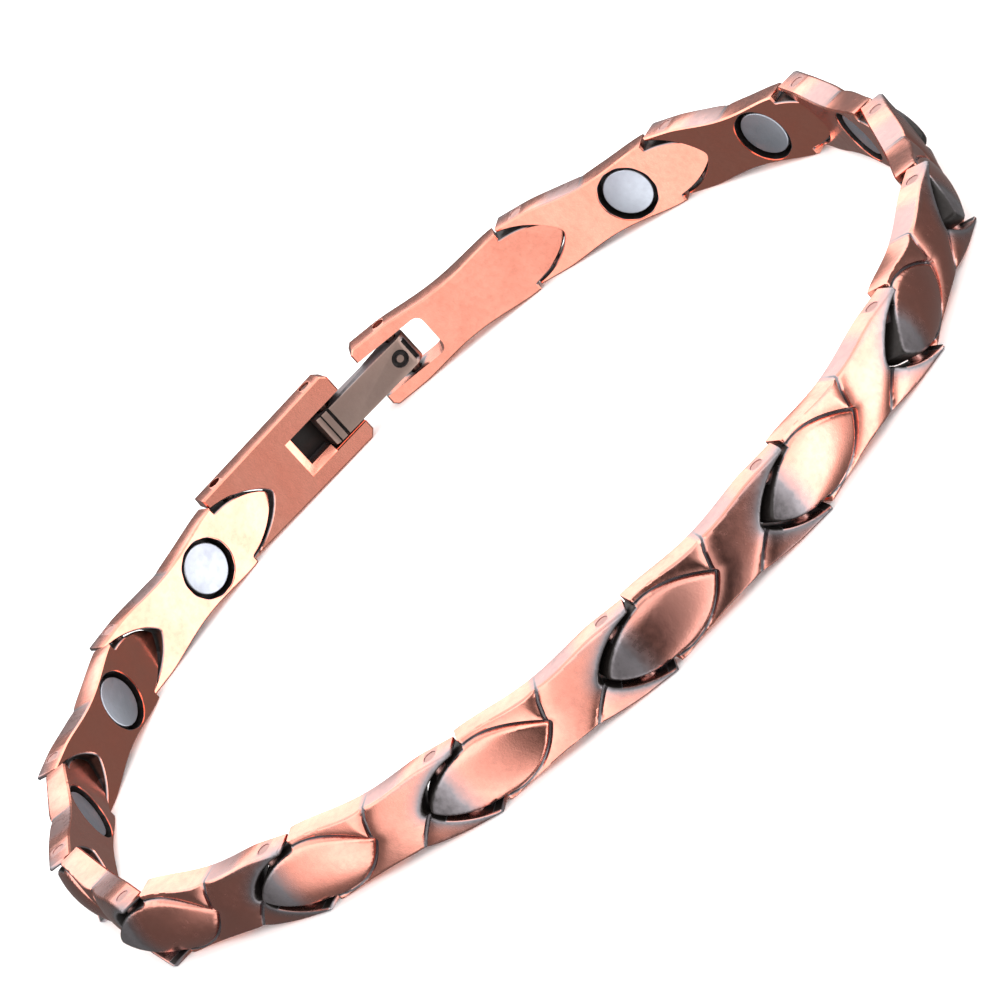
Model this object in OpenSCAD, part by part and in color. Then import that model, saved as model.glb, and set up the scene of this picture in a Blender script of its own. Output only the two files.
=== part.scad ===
// Copper link bracelet, fastened and lying on its edge. Millimetres, Z up.
// The links stand round an oval with their outer faces outwards. Each link's tongue is held
// in the fork of the link before it, going anticlockwise seen from above.

/* [Links] */
// Distance between the pins of one link
pitch = 12; // [11:0.25:13]
// Width of the band at its joints
band_w = 4.8; // [4.4:0.1:5.4]
// How much narrower each edge is at the waist of a link
waist = 0.4; // [0.2:0.05:0.5]
// Plate thickness between the inner face and the foot of the pattern
plate_t = 1.6; // [1.5:0.05:1.8]
// Height of the ribbons above the plate
ribbon_h = 0.42; // [0.3:0.02:0.5]
// Height of the oval above the plate
oval_h = 0.62; // [0.5:0.02:0.7]

/* [Hinges] */
// Pin radius
pin_r = 0.36; // [0.3:0.02:0.4]
// Radial clearance of a pin in its bores
pin_gap = 0.05; // [0.03:0.01:0.08]
// Reach of the fork's arms past the pin
arm_reach = 1.5; // [1.3:0.05:1.6]
// Reach of the tongue past the pin
tongue_reach = 1.9; // [1.7:0.05:2]
// Gap between tongue and fork
fork_gap = 0.26; // [0.2:0.02:0.3]

/* [Magnets] */
// Magnet radius
magnet_r = 1.62; // [1.5:0.02:1.7]
// Radius of the pocket
pocket_r = 1.9; // [1.85:0.05:1.95]
// Magnet thickness
magnet_t = 0.9; // [0.7:0.05:1]
// Depth of the magnet's face below the inner face
magnet_sink = 0.22; // [0.1:0.02:0.3]

/* [Clasp] */
// Width of the left end link
left_w = 5.4; // [5:0.1:5.8]
// Length of the left end link from its pin to its end
left_len = 9.6; // [9:0.1:10.5]
// Length of the right end link from its pin to its end
right_len = 13.6; // [13:0.1:14]
// Width of the left end link's pocket
pocket_w = 2.8; // [2.7:0.05:2.9]
// Depth of the left end link's pocket
pocket_deep = 1.5; // [1.4:0.05:1.6]
// Width of the right end link's slot
slot_w = 3; // [2.8:0.05:3.1]
// Length of the pocket and the slot
slot_len = 4.9; // [4.7:0.1:5]
// Width of the lever
lever_w = 2.2; // [2:0.05:2.3]
// Catch pin's distance from the end of the left end link
catch_in = 1.35; // [1.3:0.05:1.5]
// Lever's pin, distance from the end of the right end link
lever_in = 2.5; // [2.4:0.05:2.6]

/* [Lie of the loop] */
// Heading of the first link, degrees
first_heading = 207; // [206:0.5:208]
// Heading of the left end link, degrees
left_heading = 192; // [190:0.5:194]
// Heading of the right end link, degrees
right_heading = 171; // [170:0.5:173]

/* [Hidden] */
LINKS = 14;
// Turn at each hinge between two links, degrees: left bend, front, right bend
turns = [27, 24, 21, 34, 17, 20, 18, 19, 27, 26, 17, 29, 22];
// First hinge, placed so that the loop's box is centred on the origin
first_hinge = [-11.743, 26.373];

$fn = 48;

copper = [0.86, 0.52, 0.42];
dark_copper = [0.62, 0.4, 0.33];
magnet_grey = [0.76, 0.76, 0.78];
pin_grey = [0.55, 0.42, 0.36];

// Faces of the plate, measured from the pins' axis: outwards is -Y in a link's own frame
inner_y = 0.85;
outer_y = inner_y - plate_t;
half_w = band_w / 2;
mid_z = half_w;
left_mid_z = left_w / 2;
shoulder_x = arm_reach + 0.3;
arm_x = pitch + arm_reach;
// The raised oval runs from the tongue's tip to its right point, widest at oval_mid
oval_mid = 2.2;
oval_end = 6.3;
oval_half = 1.93;
// How full the oval's outline is towards the tongue's tip, and how straight towards its point
tip_fullness = 0.75;
point_fullness = 1.8;
// Cut off the very tip of the tongue and the very point of the oval, which leaves short flats
tip_cut = 0.02;
// Groove round the oval, and width of the two grooves that part the ribbons
oval_groove = 0.3;
groove_w = 0.34;
// The waist begins at waist_from and ends at waist_to
waist_from = 2.2;
waist_to = pitch - 0.7;
waist_fullness = 1.5;
// Radius of the crown across the band, over the ribbons
crown_r = 7;
pocket_x = 4.65;
pin_inset = 0.12;
bore_r = pin_r + pin_gap;
through = 4;
// A crowned piece starts this much higher than its crown
spare = 0.4;
edge_steps = 16;
tongue_steps = 12;

// Heading of link k and the place of hinge k, both added up round the loop
function heading(k) = k == 0 ? first_heading : heading(k - 1) + turns[k - 1];
function along(place, angle, d) = [place[0] + d * cos(angle), place[1] + d * sin(angle)];
function hinge(k) = k == 0 ? first_hinge : along(hinge(k - 1), heading(k - 1), pitch);

// Turn of the link held in the fork of link k
function turn_after(k) = k < LINKS - 1 ? turns[k] : 360 + right_heading - heading(LINKS - 1);

right_hinge = hinge(LINKS);
lever_pin = along(right_hinge, right_heading, right_len - lever_in);
catch_pin = along(first_hinge, left_heading + 180, left_len - catch_in);
lever_span = norm(catch_pin - lever_pin);
lever_heading = atan2(catch_pin[1] - lever_pin[1], catch_pin[0] - lever_pin[0]);

// Half the width of the oval, which the tongue shares, at x; grow makes it wider for a cut
function tip_part(x, grow) = (oval_mid - x) / (oval_mid + tongue_reach + grow);
function point_part(x, grow) = (x - oval_mid) / (oval_end - oval_mid + grow);
function oval_edge(x, grow) =
  x < oval_mid
    ? (oval_half + grow) * pow(max(0, 1 - pow(tip_part(x, grow), 2)), tip_fullness)
    : (oval_half + grow) * max(0, 1 - pow(point_part(x, grow), point_fullness));

// Half the width of a waisted edge between x = 0 and one pitch
function waist_part(x) = max(0, min(1, (x - waist_from) / (waist_to - waist_from)));
function waisted(x) = half_w - waist * pow(sin(180 * waist_part(x)), waist_fullness);

// Closed outline from a lower and an upper edge
function outline(points) = concat(points, [for (i = [len(points) - 1:-1:0]) [points[i][0], -points[i][1]]]);
function oval_points(from, to, grow) =
  [for (i = [0:tongue_steps]) let (x = from + (to - from) * i / tongue_steps) [x, oval_edge(x, grow)]];

function waisted_points(from, to) =
  [for (i = [0:edge_steps]) let (x = from + (to - from) * i / edge_steps) [x, waisted(x)]];

// Prism through the thickness: an outline in X and Z, from y0 to y1
module slab(points, y0, y1) {
  translate([0, y1, 0]) rotate([90, 0, 0]) linear_extrude(y1 - y0) polygon(points);
}

module bore(x, r) {
  translate([x, 0, -through]) cylinder(r = r, h = 2 * through);
}

// Tongue, or the cut that clears it
module tongue(grow, y0, y1) {
  slab(outline(oval_points(tip_cut - tongue_reach - grow, oval_mid, grow)), y0, y1);
}

// Recess that the next link's tongue lies in, at its own turn and at none
module recess(angle, x = pitch) {
  translate([x, 0, 0]) {
    tongue(fork_gap, -through, through);
    rotate([0, 0, angle]) tongue(fork_gap / 2, -through, through);
  }
}

// Groove between two ribbons, along a curve with three control points
function bend(p, t) = (1 - t) * (1 - t) * p[0] + 2 * t * (1 - t) * p[1] + t * t * p[2];
module groove(p) {
  steps = 6;
  left = [for (i = [0:steps]) bend(p, i / steps) - [groove_w / 2, 0]];
  right = [for (i = [steps:-1:0]) bend(p, i / steps) + [groove_w / 2, 0]];
  slab(concat(left, right), -through, outer_y);
}

// Raised oval with a crown across and along; the long crown starts long_lift above the other
module oval() {
  oval_crown_r = 4.6;
  long_r = 22;
  long_lift = 0.06;
  top_y = outer_y - oval_h;
  shape = outline(oval_points(tip_cut - tongue_reach, oval_end - tip_cut, 0));
  intersection() {
    slab(shape, top_y - spare, outer_y);
    translate([-through, top_y + oval_crown_r, 0]) rotate([0, 90, 0]) cylinder(r = oval_crown_r, h = pitch);
    translate([oval_mid, top_y - long_lift + long_r, -through])
      cylinder(r = long_r, h = 2 * through, $fn = 96);
  }
}

// Round crown across the band that the ribbons share
module crown(from, r) {
  translate([from, outer_y - ribbon_h + r, 0]) rotate([0, 90, 0]) cylinder(r = r, h = 2 * pitch);
}

// Oval's outline with the groove round it
module oval_clearance() {
  slab(outline(oval_points(-tongue_reach, oval_end, oval_groove)), -through, outer_y);
}

// Crossing ribbons: the crowned field beside the oval, parted by two grooves
module ribbons(angle) {
  upper_groove = [[6.2, -0.3], [6.5, 1.4], [7.6, 2.7]];
  lower_groove = [[7.7, -2.7], [8.6, -1.2], [10.2, -0.1]];
  difference() {
    intersection() {
      slab(outline(waisted_points(shoulder_x, arm_x)), outer_y - ribbon_h - spare, outer_y);
      crown(0, crown_r);
    }
    oval_clearance();
    groove(upper_groove);
    groove(lower_groove);
    recess(angle);
  }
}

module link_body(angle) {
  difference() {
    union() {
      difference() {
        slab(outline(waisted_points(shoulder_x, arm_x)), outer_y, inner_y);
        recess(angle);
      }
      tongue(0, outer_y, inner_y);
      oval();
      ribbons(angle);
    }
    bore(0, bore_r);
    bore(pitch, bore_r);
    translate([pocket_x, inner_y - magnet_sink - magnet_t, 0]) rotate([-90, 0, 0])
      cylinder(r = pocket_r, h = through);
  }
}

// Pin as long as the band is wide at the joint, a little inside its edges
module pin_body(w) {
  translate([0, 0, pin_inset - w / 2]) cylinder(r = pin_r, h = w - 2 * pin_inset);
}

// Left end link: fork at x = 0, plain body towards -X, blind pocket open inwards and at its end
module end_left() {
  fork_half = left_w / 2 - 0.15;
  chamfer = 0.4;
  left_crown_r = 8;
  // The lever lies a little below the middle of this wider link
  pocket_shift = (mid_z - left_mid_z) * 2 / 3;
  body = [
    [arm_reach, fork_half], [arm_reach, -fork_half],
    [chamfer - left_len, -left_w / 2], [-left_len, chamfer - left_w / 2],
    [-left_len, left_w / 2 - chamfer], [chamfer - left_len, left_w / 2]
  ];
  difference() {
    union() {
      slab(body, outer_y, inner_y);
      intersection() {
        slab(body, outer_y - ribbon_h - spare, outer_y);
        crown(-pitch, left_crown_r);
      }
    }
    translate([0, 0, mid_z - left_mid_z]) recess(first_heading - left_heading, 0);
    translate([-left_len - 1, inner_y - pocket_deep, pocket_shift - pocket_w / 2])
      cube([slot_len + 1, through, pocket_w]);
    bore(0, bore_r);
    bore(catch_in - left_len, bore_r);
  }
}

// Right end link: tongue at x = 0, waisted body towards +X, slot open at its end
module end_right() {
  corner_x = 0.3;
  corner_z = 0.35;
  body = concat(waisted_points(shoulder_x, right_len - corner_x), [[right_len, half_w - corner_z]]);
  difference() {
    union() {
      slab(outline(body), outer_y, inner_y);
      tongue(0, outer_y, inner_y);
      oval();
      difference() {
        intersection() {
          slab(outline(body), outer_y - ribbon_h - spare, outer_y);
          crown(0, crown_r);
        }
        oval_clearance();
      }
    }
    translate([right_len - slot_len, -through, -slot_w / 2]) cube([slot_len + 1, 2 * through, slot_w]);
    bore(0, bore_r);
    bore(right_len - lever_in, bore_r);
  }
}

// Lever: turns on its pin at x = 0, its hook over the catch pin opens outwards
module lever_body() {
  knuckle_r = 0.85;
  neck_x = 2.6;
  hook_out = -0.4;
  hook_end = lever_span + 1.1;
  hook_chamfer = 0.2;
  tip_chamfer = 0.35;
  mouth_half = bore_r + 0.03;
  profile = [
    [0, -knuckle_r], [neck_x, hook_out],
    [hook_end - hook_chamfer, hook_out], [hook_end, hook_out + hook_chamfer],
    [hook_end, knuckle_r - tip_chamfer], [hook_end - tip_chamfer, knuckle_r],
    [0, knuckle_r]
  ];
  difference() {
    translate([0, 0, -lever_w / 2]) {
      linear_extrude(lever_w) polygon(profile);
      cylinder(r = knuckle_r, h = lever_w);
    }
    bore(0, bore_r);
    bore(lever_span, mouth_half);
    translate([lever_span - mouth_half, -through, -through]) cube([2 * mouth_half, through, 2 * through]);
  }
}

module at_hinge(place, angle, z) {
  translate([place[0], place[1], z]) rotate([0, 0, angle]) children();
}

module link(k) {
  color(copper) at_hinge(hinge(k), heading(k), mid_z) link_body(turn_after(k));
}

module magnet(k) {
  color(magnet_grey) at_hinge(hinge(k), heading(k), mid_z)
    translate([pocket_x, inner_y - magnet_sink, 0]) rotate([90, 0, 0]) cylinder(r = magnet_r, h = magnet_t);
}

module hinge_pin(k) {
  color(pin_grey) at_hinge(hinge(k), 0, mid_z) pin_body(band_w - 0.2);
}

module clasp_end_left() {
  color(copper) at_hinge(first_hinge, left_heading, left_mid_z) end_left();
}

module clasp_end_right() {
  color(copper) at_hinge(right_hinge, right_heading, mid_z) end_right();
}

module clasp_lever() {
  color(dark_copper) at_hinge(lever_pin, lever_heading, mid_z) lever_body();
}

module clasp_hinge_pin() {
  color(pin_grey) at_hinge(lever_pin, 0, mid_z) pin_body(band_w - 0.3);
}

module clasp_catch_pin() {
  color(pin_grey) at_hinge(catch_pin, 0, left_mid_z) pin_body(left_w);
}

for (k = [0:LINKS - 1]) {
  link(k);
  magnet(k);
}
for (k = [0:LINKS]) {
  hinge_pin(k);
}
clasp_end_left();
clasp_end_right();
clasp_lever();
clasp_hinge_pin();
clasp_catch_pin();
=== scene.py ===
# Looks of a copper link bracelet, fastened and lying on its edge.
import math

import bmesh
import bpy
import numpy as np
from mathutils import Matrix, Vector
from mathutils.geometry import delaunay_2d_cdt


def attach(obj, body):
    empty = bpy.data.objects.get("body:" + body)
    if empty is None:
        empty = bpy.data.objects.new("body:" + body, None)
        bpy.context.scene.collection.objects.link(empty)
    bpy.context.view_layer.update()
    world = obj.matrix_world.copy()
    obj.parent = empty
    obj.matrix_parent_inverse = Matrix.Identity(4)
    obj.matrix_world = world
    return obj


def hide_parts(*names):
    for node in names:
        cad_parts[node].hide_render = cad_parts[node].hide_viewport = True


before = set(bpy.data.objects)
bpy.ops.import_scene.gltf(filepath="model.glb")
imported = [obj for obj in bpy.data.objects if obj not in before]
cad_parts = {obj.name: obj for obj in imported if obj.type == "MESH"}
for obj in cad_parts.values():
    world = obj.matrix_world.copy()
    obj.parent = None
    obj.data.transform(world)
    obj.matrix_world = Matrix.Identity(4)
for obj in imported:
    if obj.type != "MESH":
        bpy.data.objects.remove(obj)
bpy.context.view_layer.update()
print("frame loaded")

mm = 0.001

# How the band lies: angles in degrees, lengths in millimetres
band = {
    "pitch": 12.0,
    "width": 4.8,
    "leftWidth": 5.4,
    "firstHinge": (-11.743, 26.373),
    "firstHeading": 207.0,
    "leftHeading": 192.0,
    "rightHeading": 171.0,
    "turns": (27, 24, 21, 34, 17, 20, 18, 19, 27, 26, 17, 29, 22),
}


def walk(place, heading, distance):
    angle = math.radians(heading)
    return (place[0] + distance * math.cos(angle), place[1] + distance * math.sin(angle))


headings = [band["firstHeading"]]
for turn in band["turns"]:
    headings.append(headings[-1] + turn)
hinges = [band["firstHinge"]]
for heading in headings:
    hinges.append(walk(hinges[-1], heading, band["pitch"]))
midHeight = band["width"] / 2
leftMidHeight = band["leftWidth"] / 2


# Plain helpers for outlines in a link's own X and Z


def smooth(t):
    t = np.clip(t, 0, 1)
    return t * t * (3 - 2 * t)


def resample(points, step):
    # a closed loop's points, none further apart than the step
    out = []
    for a, b in zip(points, points[1:] + points[:1]):
        parts = max(1, math.ceil(math.dist(a, b) / step))
        run, climb = b[0] - a[0], b[1] - a[1]
        out += [(a[0] + run * i / parts, a[1] + climb * i / parts) for i in range(parts)]
    return np.array(out)


def pathDistance(points, path, closed=True):
    a = np.array(path, float)
    b = np.roll(a, -1, 0)
    if not closed:
        a, b = a[:-1], b[:-1]
    along = b - a
    length = np.maximum((along**2).sum(1), 1e-12)
    t = np.clip(((points[:, None] - a) * along).sum(2) / length, 0, 1)
    gap = points[:, None] - (a + t[:, :, None] * along)
    return np.sqrt((gap**2).sum(2)).min(1)


def insideLoop(points, loop):
    a = np.array(loop, float)
    b = np.roll(a, -1, 0)
    x, z = points[:, None, 0], points[:, None, 1]
    rise = np.where(b[:, 1] == a[:, 1], 1e-12, b[:, 1] - a[:, 1])
    crossing = a[:, 0] + (z - a[:, 1]) * (b[:, 0] - a[:, 0]) / rise
    crosses = ((a[:, 1] > z) != (b[:, 1] > z)) & (x < crossing)
    return crosses.sum(1) % 2 == 1


link = {
    "plateOut": 0.75,
    "innerFace": 0.85,
    "ribbonRise": 0.42,
    "ovalRise": 0.62,
    "ovalMid": 2.2,
    "ovalEnd": 6.3,
    "ovalHalf": 1.93,
    "ovalCrown": 3.6,
    "ovalLongCrown": 17.0,
    "noseFullness": 0.75,
    "pointFullness": 1.8,
    "lowerPointFullness": 2.6,
    "ovalLip": 0.22,
    "ovalLipDrop": 0.1,
    "ovalFall": 0.07,
    "ribbonClimb": 0.1,
    "ribbonCrown": 7,
    "tipCut": 0.02,
    "tongueReach": 1.9,
    "armReach": 1.5,
    "forkGap": 0.26,
    "waist": 0.4,
    "waistFrom": 2.2,
    "waistShort": 2.9,
    "waistFullness": 1.5,
    "lowerFuller": 0.17,
    "lowerFullerOver": 1.2,
    "grooveWide": 0.22,
    "grooveFlat": 0.45,
    "grooveSlope": 0.75,
    "grooveFloor": 0.6,
    "ribbonGrooveStep": 0.08,
    "ribbonSag": 0.2,
    "ribbonFade": 0.42,
    "edgeRound": 0.16,
    "innerRound": 0.1,
    "step": 0.14,
    "innerStep": 0.4,
    "boreRadius": 0.41,
    "pocketAt": 4.65,
    "pocketRadius": 1.9,
    "pocketDeep": 1.12,
    "pocketRim": 0.07,
    "pocketRimDeep": 0.05,
    "upperGroove": ((6.22, -0.15), (6.32, 0.5), (6.6, 1.3), (7.02, 2.0), (7.5, 2.7)),
    "lowerGroove": ((7.8, -2.8), (8.3, -1.95), (8.95, -1.22), (9.6, -0.6), (10.3, -0.02)),
}
shoulder = link["armReach"] + 0.3

# How a plate's mesh is laid out: distances from its features, and shares of its steps
sheet = {
    "ovalStep": 0.09,
    "ringMiddle": 0.145,
    "grooveStep": 0.1,
    "grooveRows": (-0.14, -0.05, 0.05, 0.14),
    "rowShare": 0.866,
    "edgeShare": 0.85,
    "crowdShare": 0.4,
    "roundRings": (0.3, 0.9),
}


def ovalEdge(x, grow=0.0):
    # half width of the oval: a round nose to the left, and a point to the right
    nose = link["ovalMid"] + link["tongueReach"] + grow
    point = link["ovalEnd"] - link["ovalMid"] + grow
    if x < link["ovalMid"]:
        share = max(0, 1 - ((link["ovalMid"] - x) / nose) ** 2) ** link["noseFullness"]
    else:
        share = max(0, 1 - ((x - link["ovalMid"]) / point) ** link["pointFullness"])
    return (link["ovalHalf"] + grow) * share


def ovalLowerEdge(x):
    # the oval's lower side is fuller than its upper side, right of the shoulder
    if x < shoulder:
        return ovalEdge(x)
    swell = float(smooth((x - shoulder) / link["lowerFullerOver"]))
    fuller = link["ovalHalf"] + link["lowerFuller"] * swell
    along = max(0, x - link["ovalMid"]) / (link["ovalEnd"] - link["ovalMid"])
    return fuller * max(0, 1 - along ** link["lowerPointFullness"])


def waistedEdge(x):
    t = max(0, min(1, (x - link["waistFrom"]) / (band["pitch"] - link["waistShort"])))
    return midHeight - link["waist"] * math.sin(math.pi * t) ** link["waistFullness"]


def ovalCurve(start, end, grow=0.0, parts=22):
    # finer near the tips, where the curve turns fast
    spread = [(1 - math.cos(math.pi * i / parts)) / 2 for i in range(parts + 1)]
    return [(start + (end - start) * s, ovalEdge(start + (end - start) * s, grow)) for s in spread]


def ovalRound(parts):
    # the whole oval, closed
    start, end = link["tipCut"] - link["tongueReach"], link["ovalEnd"] - link["tipCut"]
    upper = ovalCurve(start, end, parts=parts)
    return [(x, -ovalLowerEdge(x)) for x, _ in upper] + upper[::-1]


def mirrored(upper):
    # closed loop, anticlockwise in X and Z, from its upper half that runs towards +X
    lower = [(x, -z) for x, z in upper]
    return lower + upper[::-1]


ovalLoop = ovalRound(40)


def signedOval(points):
    gap = pathDistance(points, ovalLoop)
    return np.where(insideLoop(points, ovalLoop), -gap, gap)


def crownDrop(z, radius):
    return radius - np.sqrt(radius**2 - z**2)


def roundedEdge(gap, radius):
    # share of a quarter round's fall, 1 at the edge and 0 from its radius inwards
    return 1 - np.sqrt(1 - (1 - np.clip(gap / radius, 0, 1)) ** 2)


def ovalHeight(x, z, depth):
    long = crownDrop(x - link["ovalMid"], link["ovalLongCrown"])
    top = link["plateOut"] + link["ovalRise"] - crownDrop(z, link["ovalCrown"]) - long
    return top - link["ovalLipDrop"] * roundedEdge(depth, link["ovalLip"])


def edgeGap(points, upper):
    # distance to a curve or to its mirror image below
    lower = [(x, -z) for x, z in upper]
    return np.minimum(pathDistance(points, upper, False), pathDistance(points, lower, False))


def grooveCut(points, line):
    gap = pathDistance(points, line, closed=False)
    half = link["grooveWide"] / 2
    return 1 - smooth((gap - half * link["grooveFlat"]) / (half * link["grooveSlope"]))


def linkRelief(points, grooves=True):
    # height of the outer face above the pins' axis, and how far it is down in a groove
    x, z = points[:, 0], points[:, 1]
    signed = signedOval(points)
    ring = link["grooveWide"]
    ribbon = link["plateOut"] + link["ribbonRise"] - crownDrop(z, link["ribbonCrown"])
    near = signed - ring
    if grooves:
        for line in (link["upperGroove"], link["lowerGroove"]):
            near = np.minimum(near, pathDistance(points, line, closed=False) - ring / 2)
    ribbon -= link["ribbonSag"] * np.exp(-np.maximum(near, 0) / link["ribbonFade"])
    dome = ovalHeight(x, z, -signed)
    onDome = 1 - smooth(signed / link["ovalFall"])
    onRibbon = smooth((signed - ring + link["ribbonClimb"]) / link["ribbonClimb"])
    cut = 1 - onDome - onRibbon
    height = dome * onDome + ribbon * onRibbon + link["grooveFloor"] * cut
    if grooves:
        for line in (link["upperGroove"], link["lowerGroove"]):
            c = grooveCut(points, line) * onRibbon
            height -= c * (height - link["grooveFloor"] - link["ribbonGrooveStep"])
            cut = np.maximum(cut, c)
    return height, np.clip(cut, 0, 1)


def offsetPath(points, distance):
    out = []
    for i, p in enumerate(points):
        a, b = points[max(0, i - 1)], points[min(len(points) - 1, i + 1)]
        length = max(1e-9, math.dist(a, b))
        run, climb = (b[0] - a[0]) / length, (b[1] - a[1]) / length
        out.append((p[0] - climb * distance, p[1] + run * distance))
    return out


def inwardNormals(loop):
    following = np.roll(loop, -1, 0) - np.roll(loop, 1, 0)
    following /= np.linalg.norm(following, axis=1)[:, None]
    return np.stack([-following[:, 1], following[:, 0]], 1)


def linkFeatures():
    # points along the edges of the oval and the grooves, so that the mesh turns sharply there
    loop = resample(ovalLoop, sheet["ovalStep"])
    inward = inwardNormals(loop)
    out = []
    for distance in (0.0, link["ovalFall"], sheet["ringMiddle"], link["grooveWide"]):
        out += [tuple(p) for p in loop - inward * distance]
    for line in (link["upperGroove"], link["lowerGroove"]):
        dense = resample(list(line), sheet["grooveStep"])
        dense = [tuple(p) for p in dense[: int(len(dense) / 2) + 1]]
        for side in sheet["grooveRows"]:
            out += offsetPath(dense, side)
    return np.array(out)


def thin(points, least):
    # drop points that crowd one another
    cells, out = {}, []
    around = [(i, j) for i in (-1, 0, 1) for j in (-1, 0, 1)]
    for p in points:
        column, row = int(p[0] // least), int(p[1] // least)
        near = [q for i, j in around for q in cells.get((column + i, row + j), [])]
        if all(math.dist(p, q) >= least for q in near):
            cells.setdefault((column, row), []).append(p)
            out.append(p)
    return np.array(out)


def sheetPoints(loop, step, rounds, features):
    # points inside the outline: rings for its rounded edge, then the features, then even rows
    lo, hi = loop.min(0), loop.max(0)
    # rows of nearly equal triangles
    rowStep = step * sheet["rowShare"]
    columns = range(int((hi[0] - lo[0]) / step) + 2)
    rows = []
    for j in range(int((hi[1] - lo[1]) / rowStep) + 2):
        shift = step / 2 if j % 2 else 0
        rows += [(lo[0] + shift + i * step, lo[1] + j * rowStep) for i in columns]
    inward = inwardNormals(loop)
    rings = [loop + inward * d for d in rounds]
    wanted = np.concatenate(rings + ([features] if len(features) else []) + [np.array(rows)])
    inside = insideLoop(wanted, loop)
    clear = pathDistance(wanted, loop) > min(rounds) * sheet["edgeShare"]
    return thin(wanted[inside & clear], link["step"] * sheet["crowdShare"])


def newObject(name, data):
    thing = bpy.data.objects.new(name, data)
    bpy.context.scene.collection.objects.link(thing)
    return thing


def objectFrom(work, name):
    mesh = bpy.data.meshes.new(name)
    work.to_mesh(mesh)
    work.free()
    return newObject(name, mesh)


def makePlate(name, outline, outerHeight, features=()):
    # a closed plate: the outer face, side -1, has the relief, and the inner face is flat
    loop = resample(outline, link["step"])
    count = len(loop)
    verts, faces, rims = [], [], []
    for side in (-1, 1):
        if side < 0:
            rounds = [link["edgeRound"] * k for k in sheet["roundRings"]]
            extra = sheetPoints(loop, link["step"], rounds, features)
        else:
            extra = sheetPoints(loop, link["innerStep"], [link["innerRound"]], ())
        flat = np.concatenate([loop, extra])
        cdt = delaunay_2d_cdt([Vector(p) for p in flat], [], [list(range(count))], 1, 1e-7)
        points = np.array([tuple(v) for v in cdt[0]])
        home = {old: new for new, olds in enumerate(cdt[3]) for old in olds}
        edge = pathDistance(points, loop)
        if side < 0:
            height, _ = outerHeight(points)
            radius = link["edgeRound"]
        else:
            height = np.full(len(points), link["innerFace"])
            radius = link["innerRound"]
        height -= radius * roundedEdge(edge, radius)
        start = len(verts)
        verts += [(p[0] * mm, side * h * mm, p[1] * mm) for p, h in zip(points, height)]
        for f in cdt[2]:
            order = f if side < 0 else f[::-1]
            faces.append([start + i for i in order])
        rims.append([start + home[i] for i in range(count)])
    for i in range(count):
        j = (i + 1) % count
        faces.append([rims[0][j], rims[0][i], rims[1][i], rims[1][j]])
    mesh = bpy.data.meshes.new(name)
    mesh.from_pydata(verts, [], faces)
    work = bmesh.new()
    work.from_mesh(mesh)
    bmesh.ops.recalc_face_normals(work, faces=work.faces)
    work.to_mesh(mesh)
    work.free()
    return newObject(name, mesh)


def cylinder(radius, length, segments):
    work = bmesh.new()
    radii = {"radius1": radius * mm, "radius2": radius * mm}
    bmesh.ops.create_cone(work, cap_ends=True, segments=segments, depth=length * mm, **radii)
    return work


def cylinderAlongZ(x, radius, half, segments=32):
    work = cylinder(radius, 2 * half, segments)
    bmesh.ops.translate(work, verts=work.verts, vec=(x * mm, 0, 0))
    return work


def cylinderAlongY(x, radius, low, high, segments=48):
    work = cylinder(radius, high - low, segments)
    bmesh.ops.rotate(work, verts=work.verts, matrix=Matrix.Rotation(math.pi / 2, 3, "X"))
    bmesh.ops.translate(work, verts=work.verts, vec=(x * mm, (low + high) / 2 * mm, 0))
    return work


def ringAlongY(x, outer, inner, low, high, segments=40):
    work = bmesh.new()
    turns = [2 * math.pi * k / segments for k in range(segments)]
    rows = []
    for radius, y in ((outer, low), (outer, high), (inner, high), (inner, low)):
        places = [(x + radius * math.cos(a), y, radius * math.sin(a)) for a in turns]
        rows.append([work.verts.new([value * mm for value in place]) for place in places])
    for a, b in zip(rows, rows[1:] + rows[:1]):
        for i in range(segments):
            j = (i + 1) % segments
            work.faces.new((a[i], a[j], b[j], b[i]))
    bmesh.ops.recalc_face_normals(work, faces=work.faces)
    return work


def roundEdges(work, edges, radius, segments):
    bmesh.ops.bevel(
        work, geom=edges, offset=radius * mm, segments=segments, affect="EDGES", profile=0.5
    )


def capEdges(work):
    # the edges round a shape's two many-sided ends
    return [e for e in work.edges if any(len(f.verts) > 4 for f in e.link_faces)]


def block(lo, hi, bevel=0.0):
    # a box between two corners, its edges along Y rounded where a bevel is given
    work = bmesh.new()
    bmesh.ops.create_cube(work, size=1)
    size = [(b - a) * mm for a, b in zip(lo, hi)]
    bmesh.ops.scale(work, verts=work.verts, vec=size)
    bmesh.ops.translate(work, verts=work.verts, vec=[(a + b) / 2 * mm for a, b in zip(lo, hi)])
    if bevel:
        rises = [(e, abs(e.verts[0].co.y - e.verts[1].co.y)) for e in work.edges]
        roundEdges(work, [e for e, rise in rises if rise > 0.5 * size[1]], bevel, 4)
    return work


# Every cutter reaches this far, which is past any face of the band
through = 4.0


def cutAway(piece, works):
    # take each shape out of the piece and leave a plain mesh
    for k, work in enumerate(works):
        cutter = objectFrom(work, f"{piece.name}Cutter{k}")
        cut = piece.modifiers.new("cut", "BOOLEAN")
        cut.operation = "DIFFERENCE"
        cut.solver = "EXACT"
        cut.object = cutter
        bpy.context.view_layer.update()
        graph = bpy.context.evaluated_depsgraph_get()
        done = bpy.data.meshes.new_from_object(piece.evaluated_get(graph))
        piece.modifiers.clear()
        piece.data = done
        bpy.data.objects.remove(cutter)


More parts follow.
